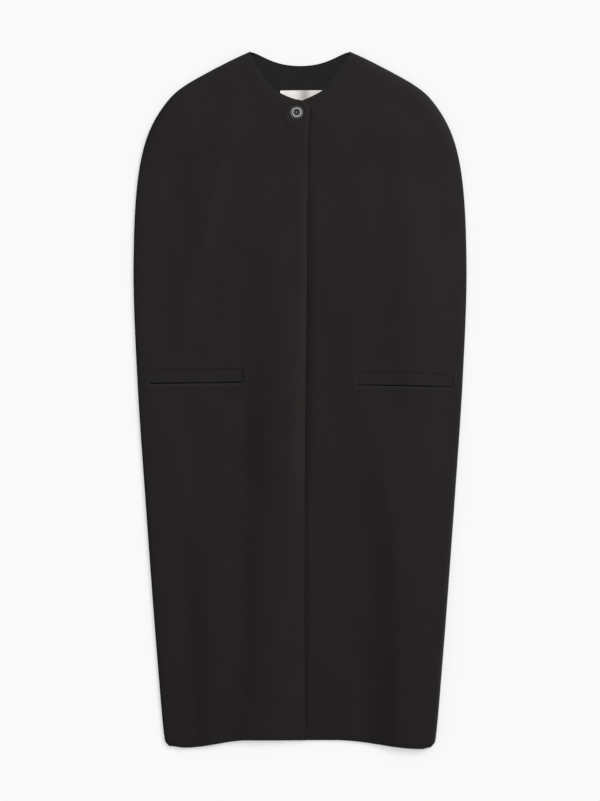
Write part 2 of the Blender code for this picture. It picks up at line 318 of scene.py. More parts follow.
# distance from the axis, height above the button's underside
BUTTON_PROFILE = (
    (9.0, 0.0),
    (10.2, 0.4),
    (10.75, 1.3),
    (10.6, 2.2),
    (10.0, 2.7),
    (9.4, 2.5),
    (9.1, 2.0),
    (6.2, 2.0),
    (5.6, 1.9),
    (4.4, 1.65),
    (1.2, 1.6),
)
# painted highlight on the rim, a paler ring: distances from the axis where it starts, is full, is still
# full and ends
RIM_PAINTED_HIGHLIGHT = (9.4, 9.8, 10.1, 10.5)
# the painted highlight is weakest and strongest at these distances across
RIM_HIGHLIGHT_SIDES = (3.0, 9.0)

# Rounding of edges, and the angles past which an edge is rounded or left sharp
PANEL_EDGE = 0.8
WELT_EDGE = 0.6
FACING_EDGE = 0.5
LABEL_EDGE = 0.3
BUTTON_EDGE = 0.12
RING_EDGE = 0.4
CUT_ANGLE = radians(50.0)
TURNED_ANGLE = radians(35.0)
RING_ANGLE = radians(40.0)

# How closely the cloth is drawn
STEP = 4.2
BACK_STEP = 5.4
EDGE_STOPS = (0.0, 1.5, 3.2, 5.2, 7.6)
ROLL_STOPS = (0.0, 0.0133, 0.04, 0.08, 0.13, 0.19, 0.27, 0.36, 0.47, 0.6, 0.75, 0.88, 1.0)
WELT_ROWS = (-10.0, -7.2, -5.0, -3.0, -1.0, 1.0, 3.0, 5.2, 8.0, 11.2, 14.4, 17.4, 19.6,
             21.2, 22.6, 24.0, 25.6, 27.6, 30.4)
# rows are level up to here; above it they divide the shoulder, closest at the neck
LEVEL_TOP = 200.0
FRONT_SHOULDER_ROWS = 82
BACK_SHOULDER_ROWS = 70
NECK_STOPS = (0.97, 0.981, 0.989, 0.9948, 1.0)
# height over which the rows take on the hem's curve
HEM_PULL_OVER = 130.0
# rows this near to a slit lie along it, and the next ones turn level over this height
SLANT_FULL = 32.0
SLANT_OVER = 60.0
# width past the neck point for which a front's columns are set out
PAST_NECK = 160.0
# columns at a welt's end, from outside it inwards, and the room that they keep
WELT_END_STOPS = (-2.0, -0.6, 0.8, SLIT_SHORTER / 2.0)
LEAST_APART = 1.2
# a welt's own points: the row beside each edge, then where the even ones start and end, and how many
WELT_HOLD = 1.2
WELT_INNER = 3.0
WELT_INNER_TOP = 2.2
WELT_UP = 8
WELT_ALONG = 40
FACING_COLUMNS = 49
FACING_ROWS = 19
LABEL_COLUMNS = 61
LABEL_ROWS = 25
# steps round the button and its ring, a hole and the thread, over an arch, and round and along a stitch
ROUND_STEPS = 96
HOLE_STEPS = 24
THREAD_STEPS = 10
ARCH_STEPS = 16
STITCH_STEPS = (10, 6)
# points nearer together than this are one
SAME_POINT = 0.01

# Camera: its height in metres, and the level in millimetres at which the picture's scale holds
CAMERA_HEIGHT = 8.0
SCALE_LEVEL = 4.6
MM_PER_PIXEL = 1.65
PICTURE_HIGH = 801
SENSOR = 36.0

# Floor: width in metres, and how far it lies below the cape in millimetres
FLOOR_WIDE = 80.0
FLOOR_BELOW = 0.1

# Light: levels as shares of full white on a level white sheet
ROOM_LIGHT = 0.26
FLOOR_KEY = 0.21
OVERHEAD = 0.59
NECK_LIGHT = 0.94
CAPE_KEY = 0.30
SIDE_LIGHT = 0.50
# where it comes from, and how wide it looks
FLOOR_KEY_FROM = (0.5, 0.5, 0.707)
FLOOR_KEY_SPREAD = radians(30.0)
OVERHEAD_FROM = (-0.05, 0.12, 0.99)
OVERHEAD_SPREAD = radians(12.0)
BUTTON_LIGHT_FROM = (-0.12, 0.25, 0.96)
BUTTON_LIGHT_SPREAD = radians(80.0)
LABEL_LIGHT_FROM = (-0.95, 0.1, 0.22)
# where it stands, and how wide it is, in metres
CAPE_KEY_AT = (-2.3, 2.07, 3.4)
CAPE_KEY_WIDE = 2.04
SIDE_LIGHT_AT = (4.2, 2.8, 1.75)
SIDE_LIGHT_WIDE = 1.2

# Side of the centre on which each front lies
SIGN = {"right": -1.0, "left": 1.0}


# Plan curves

def smooth_curve(points, per_span=24):
    """Smooth curve through every point, spaced by the square root of their distances."""
    p = np.array(points, float)
    p = np.vstack([2 * p[0] - p[1], p, 2 * p[-1] - p[-2]])
    knots = np.concatenate([[0.0], np.cumsum(np.sqrt(np.linalg.norm(np.diff(p, axis=0), axis=1)))])
    line = []
    for i in range(1, len(p) - 2):
        t0, t1, t2, t3 = knots[i - 1:i + 3]
        for t in np.linspace(t1, t2, per_span, endpoint=False):
            a1 = ((t1 - t) * p[i - 1] + (t - t0) * p[i]) / (t1 - t0)
            a2 = ((t2 - t) * p[i] + (t - t1) * p[i + 1]) / (t2 - t1)
            a3 = ((t3 - t) * p[i + 1] + (t - t2) * p[i + 2]) / (t3 - t2)
            b1 = ((t2 - t) * a1 + (t - t0) * a2) / (t2 - t0)
            b2 = ((t3 - t) * a2 + (t - t1) * a3) / (t3 - t1)
            line.append(((t2 - t) * b1 + (t - t1) * b2) / (t2 - t1))
    line.append(p[-2])
    return np.array(line)


def at_shares(line, shares):
    """Points of a line at shares of its length."""
    length = np.concatenate([[0.0], np.cumsum(np.linalg.norm(np.diff(line, axis=0), axis=1))])
    length /= length[-1]
    return np.column_stack([np.interp(shares, length, line[:, k]) for k in (0, 1)])


def at_heights(line, heights):
    """Points of a rising line at heights."""
    return np.column_stack([np.interp(heights, line[:, 1], line[:, 0]), heights])


def step(x):
    """Soft step from 0 to 1."""
    x = np.clip(x, 0.0, 1.0)
    return x * x * (3.0 - 2.0 * x)


def between(y, ends):
    """1 from the second height to the third, running out to 0 at the first and the last."""
    low, full_from, full_to, high = ends
    return step((y - low) / (full_from - low)) * step((high - y) / (high - full_to))


def mix(ends, share):
    """Value between two ends."""
    return ends[0] + (ends[1] - ends[0]) * share


def stops(low, high, apart):
    """Even stops between two values, without the ends."""
    return np.linspace(low, high, max(2, int(round((high - low) / apart)) + 1))[1:-1]


def away_from(line, x, y):
    """Distance of each point from a line drawn as short straight bits."""
    found = np.full(x.shape, 1e9)
    for start, end in zip(line[:-1], line[1:]):
        bit_x, bit_y = end - start
        out_x, out_y = x - start[0], y - start[1]
        share = np.clip((out_x * bit_x + out_y * bit_y) / (bit_x ** 2 + bit_y ** 2), 0.0, 1.0)
        found = np.minimum(found, (out_x - share * bit_x) ** 2 + (out_y - share * bit_y) ** 2)
    return np.sqrt(found)


def side_line(side):
    """Middle of the cloth at the seam of one side, drawn on +X."""
    rows = [(wide, high) for high, wide in SIDE_LINE]
    corner = [(wide, high - CORNER_LOWER[side]) for wide, high in rows[:CORNER_ROWS]]
    line = smooth_curve(corner + rows[CORNER_ROWS:])
    along = np.gradient(line, axis=0)
    along /= np.linalg.norm(along, axis=1)[:, None]
    inward = np.column_stack([-along[:, 1], along[:, 0]])
    return line + inward * WALL / 2.0


SEAM = {side: side_line(side) for side in ("right", "left")}
NECK_POINT = SEAM["right"][-1]
EDGE_LINE = {side: smooth_curve([(-reach, high) for high, reach in FRONT_EDGE] + [NECK_FRONT[side][0]])
             for side in SEAM}
NECK_LINE = {side: smooth_curve(list(NECK_FRONT[side]) + [tuple(NECK_POINT)]) for side in SEAM}
LABEL_LINE = smooth_curve(LABEL_FOLD)


def hem_height(across, side):
    """Hem height; it dips beside the middle and lifts a little into the rounded corner."""
    corner = SEAM[side][0]
    dip_from, dip_at, deep = HEM_DIP[side]
    dip = step((across - dip_from) / (dip_at - dip_from))
    lift = step((across - dip_at) / (corner[0] - dip_at))
    return HEM_LEVEL - deep * dip + (corner[1] - HEM_LEVEL + deep) * lift


def back_neck_height(across):
    """Neckline of the back."""
    share = np.abs(across) / NECK_POINT[0]
    rise = (1.0 + NECK_TIP_ROUND) * share ** NECK_BACK_POWER - NECK_TIP_ROUND * share ** NECK_TIP_POWER
    return NECK_BACK_LOW + (NECK_POINT[1] - NECK_BACK_LOW) * rise


def patch(bottom, top, left, right, u, bottom_pull, top_pull):
    """Rows of points from the left curve to the right one, drawn towards the bottom and top curves."""
    u = u[None, :, None]
    level = (1 - u) * left[:, None] + u * right[:, None]
    below = bottom[None] - level[:1]
    above = top[None] - level[-1:]
    return level + bottom_pull[:, None, None] * below + top_pull[:, None, None] * above


def welt_line(side, across):
    """Height of a welt's lower edge."""
    in_x, in_y, out_x, out_y = WELTS[side]
    return in_y + (out_y - in_y) * (across - in_x) / (out_x - in_x)


def welt_deep(side, across):
    """Depth of a welt; its upper edge is drawn in towards the outer end."""
    in_x, _, out_x, _ = WELTS[side]
    share = (across - in_x) / (out_x - in_x)
    return WELT_DEEP[side] - WELT_DRAWN_IN[side] * step((share - WELT_DRAWN_FROM) / WELT_DRAWN_OVER)


# Heights

def roll(share):
    """Rise of a rolled edge: upright at the seam, level at the end of its reach."""
    return np.sqrt(1.0 - (1.0 - np.clip(share, 0.0, 1.0)) ** 4)


def folds_height(x, y):
    """Soft folds, each with its crest along a bent line."""
    z = np.zeros_like(x)
    for low_x, low_y, top_x, top_y, low_rise, mid_rise, to_left, to_right, bend in FOLDS:
        up = np.clip((y - low_y) / (top_y - low_y), 0.0, 1.0)
        aside = x - low_x - (top_x - low_x) * up ** bend
        reach = np.where(aside < 0.0, to_left, to_right)
        rise = low_rise * (1.0 - step(up)) + mid_rise * 16.0 * (up * (1.0 - up)) ** 2
        z += rise * np.exp(-(aside / reach) ** 2)
    return z


def creases_height(x, y, creases):
    """Short soft ridges that die away at both ends."""
    z = np.zeros_like(x)
    for from_x, from_y, to_x, to_y, rise, half in creases:
        long_x, long_y = to_x - from_x, to_y - from_y
        length = hypot(long_x, long_y)
        along = ((x - from_x) * long_x + (y - from_y) * long_y) / length ** 2
        aside = ((y - from_y) * long_x - (x - from_x) * long_y) / length
        z += rise * np.sin(pi * np.clip(along, 0.0, 1.0)) ** 2 * np.exp(-(aside / half) ** 2)
    return z


def sways_height(x, y):
    """Slow waves of cloth that doesn't lie quite even."""
    z = np.zeros_like(x)
    for high, across, up, shift in SWAYS:
        z += high * np.sin(2.0 * pi * (x / across + y / up) + shift)
    return z


def welt_relief(x, y, side):
    """Bed pressed under a welt, with a low rim round it where the seam allowances lie."""
    in_x, _, out_x, _ = WELTS[side]
    low, high = sorted((in_x, out_x))
    above = y - welt_line(side, x)
    inside = np.minimum.reduce([x - low, high - x, above + SLIT_WIDE, welt_deep(side, x) - above])
    bed = step((inside + WELT_BED_FROM) / WELT_BED_OVER)
    rim = np.exp(-((inside + WELT_RIM_OUT) / WELT_RIM_HALF) ** 2)
    return WELT_RIM * rim - WELT_BED[side] * bed


def lap_over(x, y, lap_edge):
    """Rise of the right front over the left one, its fall at the edge, and the puff round the button."""
    upper = step((y - LAP_RISE_CHANGES_FROM) / LAP_RISE_CHANGES_OVER)
    above = step((y - LAP_CHANGES_FROM) / LAP_CHANGES_OVER)
    middle = between(y, LAP_SWELL_AT)
    over = mix(LAP_RISE_OVER, upper)
    z = (LAP_RISE + mix(LAP_SWELL, above) * middle) * step((x - mix(LAP_RISE_TO, upper) + over) / over)
    z -= mix(LAP_FALL, above) * middle * np.exp(-((lap_edge - x) / mix(LAP_FALL_OVER, above)) ** 2)
    from_button = np.hypot(x - BUTTON_AT[0], y - BUTTON_AT[1])
    return z + BUTTON_PUFF * np.exp(-((from_button - BUTTON_PUFF_AT) / BUTTON_PUFF_HALF) ** 2)


def lap_ditch(x, y, lap_edge):
    """Depth of the ditch that the lap's edge presses into the left front."""
    pressed = step((LAP_DITCH_TO - y) / LAP_DITCH_OVER)
    below = step((LAP_TROUGH_TO - y) / LAP_TROUGH_OVER)
    hollow = between(y, LAP_HOLLOW_AT)
    z = np.zeros_like(x)
    for share, (deep, half) in ((pressed, LAP_DITCH), (below, LAP_TROUGH), (hollow, LAP_HOLLOW)):
        z += deep * share * np.exp(-((x - lap_edge) / half) ** 2)
    return z * step((y - HEM_LEVEL + DITCH_END_BELOW) / DITCH_END_OVER)


def front_height(x, y, from_seam, from_edge, side):
    """Middle of a front's cloth."""
    settled = 1.0 - step((y - HEM_LEVEL) / HEM_SETTLE_OVER)
    z = FRONT_LAY[side] - HEM_SETTLE * settled + folds_height(x, y)
    fill_x, fill_y = SHOULDER_FILL_AT
    reach_x, reach_y = SHOULDER_FILL_REACH
    z += SHOULDER_FILL * np.exp(-((np.abs(x) - fill_x) / reach_x) ** 2 - ((y - fill_y) / reach_y) ** 2)
    crest = 1.0 - step((from_seam - CREST_FADE_FROM[side]) / CREST_FADE_OVER[side])
    z += np.maximum(SIDE_CREST[side] - z, 0.0) * crest
    z += NECK_RISE * step((y - NECK_RISE_FROM) / NECK_RISE_OVER)
    z += creases_height(x, y, CREASES) + sways_height(x, y) + welt_relief(x, y, side)
    z -= EDGE_FALL * np.exp(-(from_edge / EDGE_FALL_OVER) ** 2)
    lap_edge = np.interp(y, EDGE_LINE["right"][:, 1], -EDGE_LINE["right"][:, 0])
    z += lap_over(x, y, lap_edge) if side == "right" else -lap_ditch(x, y, lap_edge)
    z = np.maximum(z, BACK_LAY + WALL + LEAST_GAP)
    reach = mix((FRONT_ROLL, ROLL_BELOW[side]), step((ROLL_BELOW_FROM - y) / ROLL_BELOW_OVER))
    seam_end = SEAM_HEIGHT + SEAM_GAP / 2.0
    return seam_end + (z - seam_end) * roll(from_seam / reach)


def label_lift(x, y):
    """Height of the label's fold."""
    folded = step((y - LABEL_FOLD_FROM) / LABEL_FOLD_OVER)
    return np.interp(x, LABEL_LINE[:, 0], LABEL_LINE[:, 1]) * folded


# Panels as grids of points

def seam_rows(side, level, upper):
    """Points of a seam: at the level rows' heights, then at shares of the shoulder's length."""
    seam = SEAM[side]
    drop = (seam[0, 1] - level[0]) * (1.0 - step((level - level[0]) / CORNER_DROP_OVER))
    split = at_heights(seam, np.array([LEVEL_TOP]))
    shoulder = np.vstack([split, seam[seam[:, 1] > LEVEL_TOP]])
    return np.vstack([at_heights(seam, level + drop), at_shares(shoulder, upper)])


def front_plan(side):
    """Plan of a front, drawn on +X, its rows level below the chest and laid along the slit."""
    slit = welt_line(side, (WELTS[side][0] + WELTS[side][2]) / 2.0) - SLIT_WIDE / 2.0
    level = np.concatenate([
        HEM_LEVEL + np.array(EDGE_STOPS),
        stops(HEM_LEVEL + EDGE_STOPS[-1], slit + WELT_ROWS[0], STEP),
        slit + np.array(WELT_ROWS),
        stops(slit + WELT_ROWS[-1], LEVEL_TOP, STEP),
    ])
    upper = np.concatenate([np.linspace(0.0, NECK_STOPS[0], FRONT_SHOULDER_ROWS)[:-1], NECK_STOPS])
    wide = NECK_POINT[0] + FRONT_ROLL + PAST_NECK
    u = np.concatenate([
        np.array(EDGE_STOPS) / wide,
        stops(EDGE_STOPS[-1], wide - FRONT_ROLL, STEP) / wide,
        1.0 - FRONT_ROLL / wide * np.array(ROLL_STOPS[::-1]),
    ])
    corner = EDGE_LINE[side][-1, 1]
    left = at_heights(EDGE_LINE[side], np.concatenate([level, LEVEL_TOP + (corner - LEVEL_TOP) * upper]))
    right = seam_rows(side, level, upper)
    at_slit = int(np.argmin(np.abs(left[:, 1] - slit)))
    for end, inward in ((WELTS[side][0], 1.0), (WELTS[side][2], -1.0)):
        across = abs(end) + inward * np.array(WELT_END_STOPS)
        shares = np.sort((across - left[at_slit, 0]) / (right[at_slit, 0] - left[at_slit, 0]))
        apart = (u < shares[0] - LEAST_APART / wide) | (u > shares[-1] + LEAST_APART / wide)
        u = np.sort(np.concatenate([u[apart], shares]))
    hem_x = left[0, 0] + (right[0, 0] - left[0, 0]) * u
    bottom = np.column_stack([hem_x, hem_height(hem_x, side)])
    top = at_shares(NECK_LINE[side], u)
    bottom_pull = np.concatenate([1.0 - step((level - HEM_LEVEL) / HEM_PULL_OVER), np.zeros(len(upper))])
    top_pull = np.concatenate([np.zeros(len(level)), upper])
    plan = patch(bottom, top, left, right, u, bottom_pull, top_pull)
    slant = welt_line(side, SIGN[side] * plan[..., 0]) - SLIT_WIDE / 2.0 - slit
    plan[..., 1] += slant * (1.0 - step((np.abs(plan[..., 1] - slit) - SLANT_FULL) / SLANT_OVER))
    return plan, bottom


def front_points(side):
    """Grid of a front, its columns running towards +X."""
    plan, bottom = front_plan(side)
    x, y = plan[..., 0], plan[..., 1]
    from_seam = away_from(SEAM[side], x, y)
    edges = (bottom, EDGE_LINE[side], NECK_LINE[side])
    from_edge = np.minimum.reduce([away_from(line, x, y) for line in edges])
    x = SIGN[side] * x
    points = np.dstack([x, y, front_height(x, y, from_seam, from_edge, side)])
    return points[:, ::-1] if side == "right" else points


def back_points():
    """Grid of the back, which lies flat and rolls up to the seams."""
    level = np.concatenate([
        HEM_LEVEL + np.array(EDGE_STOPS),
        stops(HEM_LEVEL + EDGE_STOPS[-1], LEVEL_TOP, BACK_STEP),
    ])
    upper = np.concatenate([np.linspace(0.0, NECK_STOPS[0], BACK_SHOULDER_ROWS)[:-1], NECK_STOPS])
    right = seam_rows("left", level, upper)
    left = seam_rows("right", level, upper) * (-1.0, 1.0)
    wide = 2.0 * SIDE_LINE[WAIST_ROW][1]
    rolled = BACK_ROLL / wide * np.array(ROLL_STOPS)
    u = np.concatenate([rolled, stops(BACK_ROLL, wide - BACK_ROLL, BACK_STEP) / wide, 1.0 - rolled[::-1]])
    hem_x = left[0, 0] + (right[0, 0] - left[0, 0]) * u
    hem_y = np.where(hem_x < 0, hem_height(-hem_x, "right"), hem_height(hem_x, "left"))
    hem_y += BACK_HEM_SHORTER * (1.0 - (2.0 * u - 1.0) ** 2)
    neck_x = NECK_POINT[0] * (2.0 * u - 1.0)
    top = np.column_stack([neck_x, back_neck_height(neck_x)])
    bottom_pull = np.concatenate([1.0 - step((level - HEM_LEVEL) / HEM_PULL_OVER), np.zeros(len(upper))])
    top_pull = np.concatenate([np.zeros(len(level)), upper])
    plan = patch(np.column_stack([hem_x, hem_y]), top, left, right, u, bottom_pull, top_pull)
    x, y = plan[..., 0], plan[..., 1]
    from_seam = np.minimum(away_from(SEAM["left"], x, y), away_from(SEAM["right"] * (-1.0, 1.0), x, y))
    lower = BACK_SEAM_LOWER * step((BACK_SEAM_LOWER_TO - y) / BACK_SEAM_LOWER_OVER)
    lift = SEAM_HEIGHT - SEAM_GAP / 2.0 - lower - BACK_LAY
    z = BACK_LAY + lift * (1.0 - roll(from_seam / BACK_ROLL))
    z += creases_height(x, y, BACK_CREASES) * step(from_seam / BACK_CREASES_IN)
    return np.dstack([plan, z])


def surface_at(points, x, y):
    """Height of a panel's middle at one place, found in its own grid."""
    row = np.array([np.interp(x, r[:, 0], r[:, 1]) for r in points])
    high = np.array([np.interp(x, r[:, 0], r[:, 2]) for r in points])
    return float(np.interp(y, row, high))


def welt_stops(long, from_end, count):
    """Stops over a welt's length or depth, close together beside its edges."""
    inner = np.linspace(WELT_INNER, long - from_end, count)
    return np.concatenate([[0.0, WELT_HOLD], inner, [long - WELT_HOLD, long]])


def welt_points(side, front):
    """Grid of a welt on its front, its lower edge reaching a little over the slit."""
    start, end = (np.array(place) for place in sorted([WELTS[side][:2], WELTS[side][2:]]))
    length = hypot(*(end - start))
    along = (end - start) / length
    upward = np.array([-along[1], along[0]])
    deepest = WELT_DEEP[side]
    up_stops = welt_stops(deepest, WELT_INNER_TOP, WELT_UP)
    along_stops = welt_stops(length, WELT_INNER, WELT_ALONG)
    over, varies, farthest, again = WELT_OVER_SLIT[side]
    lift = WALL / 2.0 + WELT_GAP + WELT_THICK / 2.0
    points = np.zeros((len(up_stops), len(along_stops), 3))
    for row, deep in enumerate(up_stops):
        for column, out in enumerate(along_stops):
            spot = start + along * out
            low = -over - varies * cos(2.0 * pi * (out / length - farthest) / again)
            spot = spot + upward * (low + (welt_deep(side, spot[0]) - low) * deep / deepest)
            points[row, column] = (*spot, surface_at(front, *spot) + lift)
    return points


def facing_points(height):
    """Grid of the back neck's facing, at one height."""
    u = np.linspace(0.0, 1.0, FACING_COLUMNS)
    v = np.linspace(0.0, 1.0, FACING_ROWS)
    top_x = FACING_TOP_HALF * (2.0 * u - 1.0)
    top = np.column_stack([top_x, back_neck_height(top_x) - FACING_BELOW_NECK])
    low_x = FACING_END[0] * (2.0 * u - 1.0)
    low_y = mix((FACING_LOW, FACING_END[1]), np.abs(2.0 * u - 1.0) ** FACING_CURVE)
    low = np.column_stack([low_x, low_y])
    left = low[0] + (top[0] - low[0]) * v[:, None]
    right = low[-1] + (top[-1] - low[-1]) * v[:, None]
    plan = patch(low, top, left, right, u, 1.0 - v, v)
    return np.dstack([plan, np.full(plan.shape[:2], height)])


def label_points(height):
    """Grid of the label, lifted along its fold and tilted a little."""
    x, y = np.meshgrid(np.linspace(LABEL_LEFT, LABEL_RIGHT, LABEL_COLUMNS),
                       np.linspace(LABEL_TOP - LABEL_DEEP, LABEL_TOP, LABEL_ROWS))
    return np.dstack([x, y + LABEL_TILT * (x - LABEL_LEFT), height + label_lift(x, y)])


def in_slit(side):
    """Test for the faces that the hand slit takes out of a front."""
    low, high = sorted((WELTS[side][0], WELTS[side][2]))

    def test(middles):
        across = middles[:, 0]
        above = middles[:, 1] - welt_line(side, across)
        return ((above < 0.0) & (above > -SLIT_WIDE)
                & (across > low + SLIT_SHORTER / 2.0) & (across < high - SLIT_SHORTER / 2.0))

    return test


# Working by hand in Blender

def pick_faces(piece, wanted):
    """Go into edit mode with only the faces selected whose middles are wanted, in millimetres."""
    bpy.ops.object.mode_set(mode="EDIT")
    bpy.ops.mesh.select_mode(type="FACE")
    bpy.ops.mesh.select_all(action="DESELECT")
    bpy.ops.object.mode_set(mode="OBJECT")
    middles = np.zeros(len(piece.data.polygons) * 3)
    piece.data.polygons.foreach_get("center", middles)
    piece.data.polygons.foreach_set("select", wanted(middles.reshape(-1, 3) / MM))
    bpy.ops.object.mode_set(mode="EDIT")


def new_piece(name):
    """Name the object that was just added."""
    piece = bpy.context.object
    piece.name = name
    piece.data.name = name
    return piece


def finish_with(piece, kind, **settings):
    """Add a modifier and apply it."""
    made = piece.modifiers.new(kind.lower(), kind)
    for key, value in settings.items():
        setattr(made, key, value)
    bpy.ops.object.modifier_apply(modifier=made.name)


def cloth(name, points, thick, soft_edge, look, cut_away=None):
    """A grid of points made into cloth: cut, given its thickness, its edges rounded."""
    rows, columns = points.shape[:2]
    bpy.ops.object.select_all(action="DESELECT")
    bpy.ops.mesh.primitive_grid_add(x_subdivisions=columns - 1, y_subdivisions=rows - 1, size=1.0)
    piece = new_piece(name)
    piece.data.vertices.foreach_set("co", (points * MM).ravel())
    piece.data.update()
    if cut_away:
        pick_faces(piece, cut_away)
        bpy.ops.mesh.delete(type="FACE")
        bpy.ops.object.mode_set(mode="OBJECT")
    finish_with(piece, "SOLIDIFY", thickness=thick * MM, offset=0.0, use_quality_normals=True)
    finish_with(piece, "BEVEL", width=soft_edge * MM, segments=3, limit_method="ANGLE",
                angle_limit=CUT_ANGLE)
    bpy.ops.object.shade_smooth()
    piece.data.materials.append(look)
    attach(piece, "root")
    return piece


# Finishes

def linear(code):
    """An sRGB hex colour as linear red, green, blue and alpha."""
    parts = [int(code[i:i + 2], 16) / 255.0 for i in (1, 3, 5)]
    return (*[c / 12.92 if c <= 0.04045 else ((c + 0.055) / 1.055) ** 2.4 for c in parts], 1.0)


def add_node(tree, kind, settings, sockets):
    """One shader node: its settings, then its inputs, each a value or another node's output."""
    made = tree.nodes.new("ShaderNode" + kind)
    for key, value in settings.items():
        setattr(made, key, value)
    for key, value in sockets.items():
        if isinstance(value, bpy.types.NodeSocket):
            tree.links.new(value, made.inputs[key])
        else:
            made.inputs[key].default_value = value
    return made


def new_finish(name):
    """A material, its node tree and its shader."""
    made = bpy.data.materials.new(name)
    made.use_nodes = True
    return made, made.node_tree, made.node_tree.nodes["Principled BSDF"]


def size_mm(size):
    """Scale of a pattern whose marks are that many millimetres apart."""
    return 1.0 / (size * MM)


def felted_wool(name, dark, light):
    """Black wool coating, woven, felted and brushed down: matt, with a short nap that runs down the cape
    and clouds a little. The nap's marks are drawn about three times as coarse as real ones, to show."""
    made, tree, shader = new_finish(name)
    place = add_node(tree, "TexCoord", {}, {}).outputs["Object"]
    brushed = add_node(tree, "Mapping", {}, {"Vector": place, "Scale": (1.0, 0.22, 1.0)})
    nap = add_node(tree, "TexNoise", {}, {"Vector": brushed.outputs["Vector"], "Scale": size_mm(2.4),
                                          "Detail": 3.0, "Roughness": 0.6})
    cloud = add_node(tree, "TexNoise", {}, {"Vector": place, "Scale": size_mm(26.0), "Detail": 2.0})
    felt = add_node(tree, "TexNoise", {}, {"Vector": place, "Scale": size_mm(0.9), "Detail": 2.0})
    both = add_node(tree, "Math", {"operation": "MULTIPLY_ADD"}, {0: nap.outputs["Fac"], 1: 0.6, 2: 0.12})
    tone = add_node(tree, "Math", {"operation": "MULTIPLY_ADD"},
                    {0: cloud.outputs["Fac"], 1: 0.16, 2: both.outputs[0]})
    spread = add_node(tree, "MapRange", {},
                      {"Value": tone.outputs[0], "From Min": 0.35, "From Max": 0.65})
    colour = add_node(tree, "Mix", {"data_type": "RGBA"},
                      {0: spread.outputs[0], 6: linear(dark), 7: linear(light)})
    relief = add_node(tree, "Math", {"operation": "MULTIPLY_ADD"},
                      {0: felt.outputs["Fac"], 1: 0.5, 2: nap.outputs["Fac"]})
    bump = add_node(tree, "Bump", {},
                    {"Strength": 0.3, "Distance": 0.05 * MM, "Height": relief.outputs[0]})
    tree.links.new(colour.outputs[2], shader.inputs["Base Color"])
    tree.links.new(bump.outputs["Normal"], shader.inputs["Normal"])
    shader.inputs["Roughness"].default_value = 0.95
    shader.inputs["Specular IOR Level"].default_value = 0.08
    shader.inputs["Sheen Weight"].default_value = 0.02
    shader.inputs["Sheen Roughness"].default_value = 0.5
    return made


def label_satin():
    """Cream satin ribbon: smooth and a little glossy, with fine threads across it.
    The threads are drawn twice as coarse as real ones, to show."""
    made, tree, shader = new_finish("cream_satin_ribbon")
    place = add_node(tree, "TexCoord", {}, {}).outputs["Object"]
    drawn = add_node(tree, "Mapping", {}, {"Vector": place, "Scale": (0.08, 1.0, 1.0)}).outputs["Vector"]
    thread = add_node(tree, "TexNoise", {}, {"Vector": drawn, "Scale": size_mm(0.5), "Detail": 2.0})
    colour = add_node(tree, "Mix", {"data_type": "RGBA"},
                      {0: thread.outputs["Fac"], 6: linear("#c7c4bf"), 7: linear("#d4d2ce")})
    bump = add_node(tree, "Bump", {},
                    {"Strength": 0.3, "Distance": 0.03 * MM, "Height": thread.outputs["Fac"]})
    tree.links.new(colour.outputs[2], shader.inputs["Base Color"])
    tree.links.new(bump.outputs["Normal"], shader.inputs["Normal"])
    shader.inputs["Roughness"].default_value = 0.42
    return made


def polished_resin():
    """Dark polyester resin button: turned and polished, with faint clouds and a clear gloss.
    A highlight is painted on its rim as a paler ring, strongest at the left and right sides."""
    made, tree, shader = new_finish("dark_polished_resin")
    place = add_node(tree, "TexCoord", {}, {}).outputs["Object"]
    middle = (BUTTON_AT[0] * MM, BUTTON_AT[1] * MM, 0.0)
    aside = add_node(tree, "VectorMath", {"operation": "SUBTRACT"}, {0: place, 1: middle}).outputs[0]
    flat = add_node(tree, "VectorMath", {"operation": "MULTIPLY"}, {0: aside, 1: (1.0, 1.0, 0.0)})
    out = add_node(tree, "VectorMath", {"operation": "LENGTH"}, {0: flat.outputs[0]}).outputs["Value"]
    # painted highlight: the rim's ring is mixed towards pale grey, most at the left and right sides
    starts, full_from, full_to, ends = (distance * MM for distance in RIM_PAINTED_HIGHLIGHT)
    inner = add_node(tree, "MapRange", {}, {"Value": out, "From Min": starts, "From Max": full_from})
    outer = add_node(tree, "MapRange", {}, {"Value": out, "From Min": ends, "From Max": full_to})
    rim = add_node(tree, "Math", {"operation": "MULTIPLY"}, {0: inner.outputs[0], 1: outer.outputs[0]})
    across = add_node(tree, "SeparateXYZ", {}, {"Vector": aside}).outputs["X"]
    sideways = add_node(tree, "Math", {"operation": "ABSOLUTE"}, {0: across}).outputs[0]
    least, most = (distance * MM for distance in RIM_HIGHLIGHT_SIDES)
    highlight_strength = add_node(tree, "MapRange", {},
                      {"Value": sideways, "From Min": least, "From Max": most, "To Min": 0.4})
    rim_highlight = add_node(tree, "Math", {"operation": "MULTIPLY"}, {0: rim.outputs[0], 1: highlight_strength.outputs[0]})
    cloud = add_node(tree, "TexNoise", {}, {"Vector": place, "Scale": size_mm(3.5), "Detail": 3.0})
    colour = add_node(tree, "Mix", {"data_type": "RGBA"},
                      {0: cloud.outputs["Fac"], 6: linear("#151414"), 7: linear("#2c2a29")})
    highlighted = add_node(tree, "Mix", {"data_type": "RGBA"},
                    {0: rim_highlight.outputs[0], 6: colour.outputs[2], 7: linear("#8e8d8c")})
    rough = add_node(tree, "MapRange", {}, {"Value": cloud.outputs["Fac"], "To Min": 0.2, "To Max": 0.34})
    tree.links.new(highlighted.outputs[2], shader.inputs["Base Color"])
    tree.links.new(rough.outputs[0], shader.inputs["Roughness"])
    shader.inputs["Specular IOR Level"].default_value = 0.22
    return made


